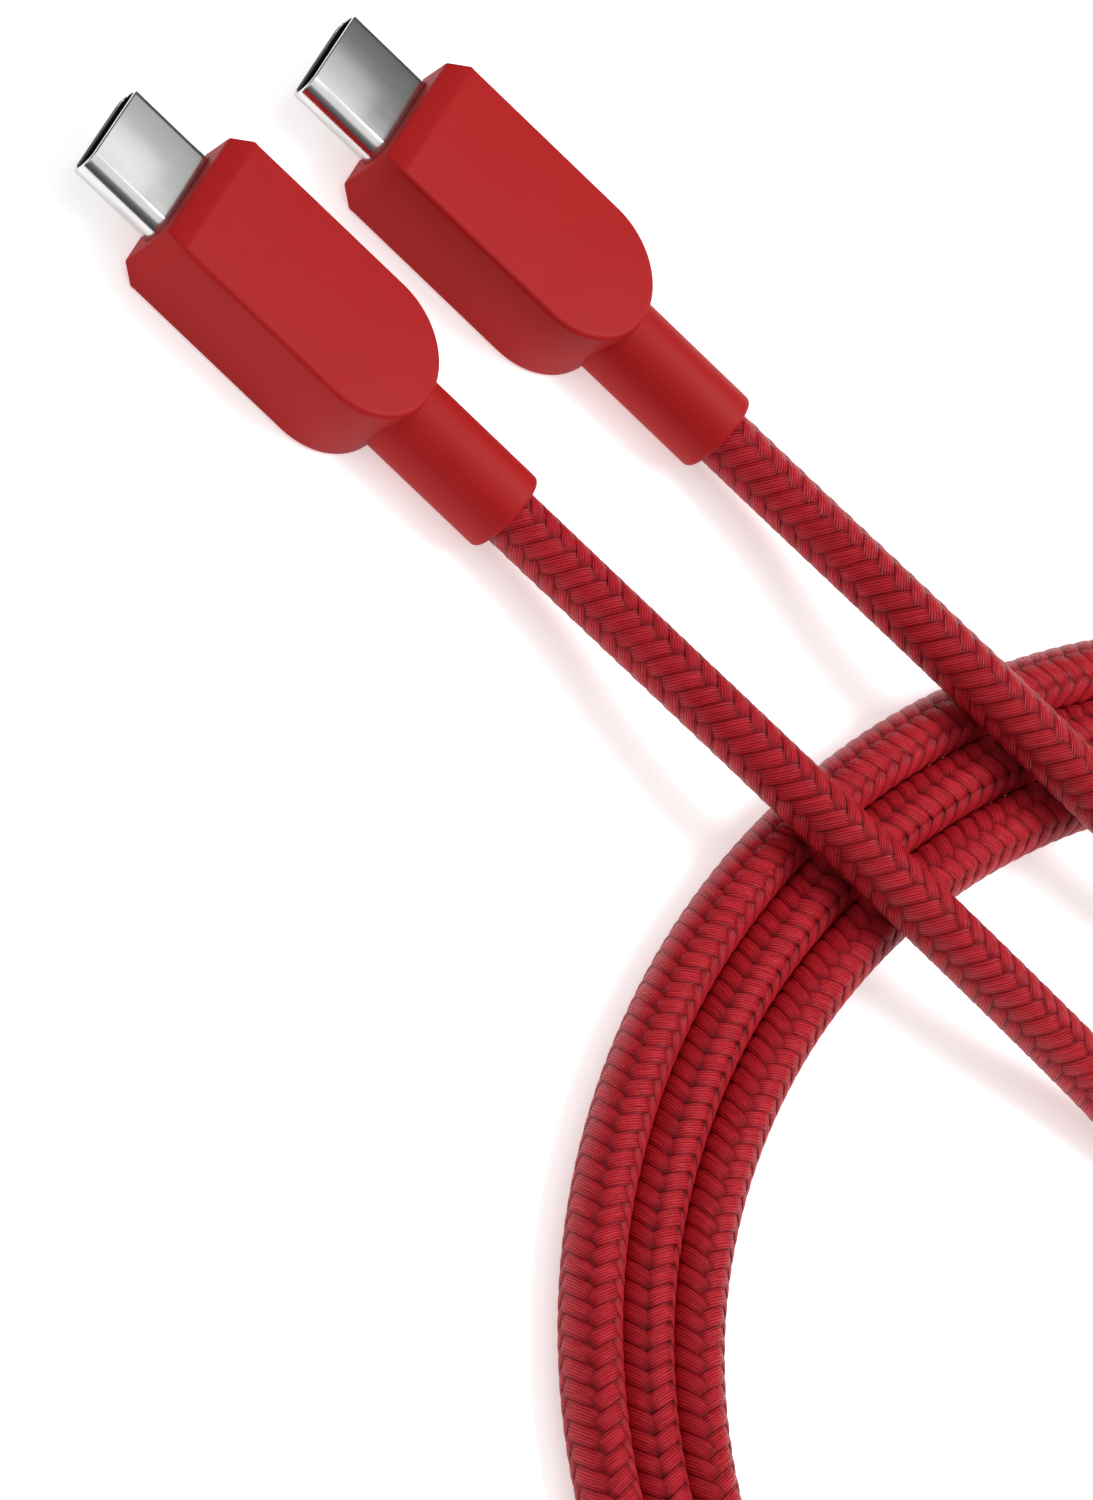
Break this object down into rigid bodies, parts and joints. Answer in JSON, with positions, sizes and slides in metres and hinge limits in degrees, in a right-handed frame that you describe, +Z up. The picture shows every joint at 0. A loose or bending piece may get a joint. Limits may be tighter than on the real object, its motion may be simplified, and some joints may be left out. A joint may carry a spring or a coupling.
{
  "type": "charging cable",
  "caption": "Braided charging cable with the same flat-sided reversible plug at both ends, its cord lying in a loose oval coil",
  "frame": {"origin": "middle of the ground under the two plugs' box, cord left out", "axes": "+Y points away from the plugs' tips along their cords, +Z is up, the plugs lie on their flat sides, +X is to the right seen from above with the tips towards the viewer"},
  "size_m": [0.1254, 0.1674, 0.009],
  "materials": {
    "plated_shell": "polished nickel plating",
    "black_insulator": "black glass-filled plastic",
    "gold_contact": "gold-plated copper alloy",
    "spring_steel": "bright stamped spring steel",
    "circuit_board": "green solder mask",
    "chip_body": "dark moulded epoxy",
    "shield_steel": "tinned sheet steel",
    "wire_insulation": "thin extruded insulation",
    "textile_braid": "braided nylon sleeve with a silky sheen",
    "crimp_brass": "plain pressed brass",
    "inner_plastic": "natural moulded polyethylene",
    "housing_plastic": "soft-touch moulded cover",
    "relief_rubber": "matte soft moulding"
  },
  "bodies": {
    "root": {"plug_a_shell": "plated_shell", "plug_a_front_insulator": "black_insulator", "plug_a_contacts_upper": "gold_contact", "plug_a_contacts_lower": "gold_contact", "plug_a_wafer_upper": "black_insulator", "plug_a_wafer_lower": "black_insulator", "plug_a_latch_plate": "spring_steel", "plug_a_ground_spring_upper": "spring_steel", "plug_a_ground_spring_lower": "spring_steel", "plug_a_card": "circuit_board", "plug_a_controller_chip": "chip_body", "plug_a_passives": "chip_body", "plug_a_can_upper": "shield_steel", "plug_a_can_lower": "shield_steel", "plug_a_wire_ends": "wire_insulation", "plug_a_cable_end": "textile_braid", "plug_a_shield_braid": "shield_steel", "plug_a_crimp_collar": "crimp_brass", "plug_a_inner_mould": "inner_plastic", "plug_a_housing": "housing_plastic", "plug_a_strain_relief": "relief_rubber", "plug_b_shell": "plated_shell", "plug_b_front_insulator": "black_insulator", "plug_b_contacts_upper": "gold_contact", "plug_b_contacts_lower": "gold_contact", "plug_b_wafer_upper": "black_insulator", "plug_b_wafer_lower": "black_insulator", "plug_b_latch_plate": "spring_steel", "plug_b_ground_spring_upper": "spring_steel", "plug_b_ground_spring_lower": "spring_steel", "plug_b_card": "circuit_board", "plug_b_controller_chip": "chip_body", "plug_b_passives": "chip_body", "plug_b_can_upper": "shield_steel", "plug_b_can_lower": "shield_steel", "plug_b_wire_ends": "wire_insulation", "plug_b_cable_end": "textile_braid", "plug_b_shield_braid": "shield_steel", "plug_b_crimp_collar": "crimp_brass", "plug_b_inner_mould": "inner_plastic", "plug_b_housing": "housing_plastic", "plug_b_strain_relief": "relief_rubber", "cord_lead_a": "textile_braid", "cord_lead_b": "textile_braid", "cord_coil": "textile_braid"}
  },
  "joints": []
}
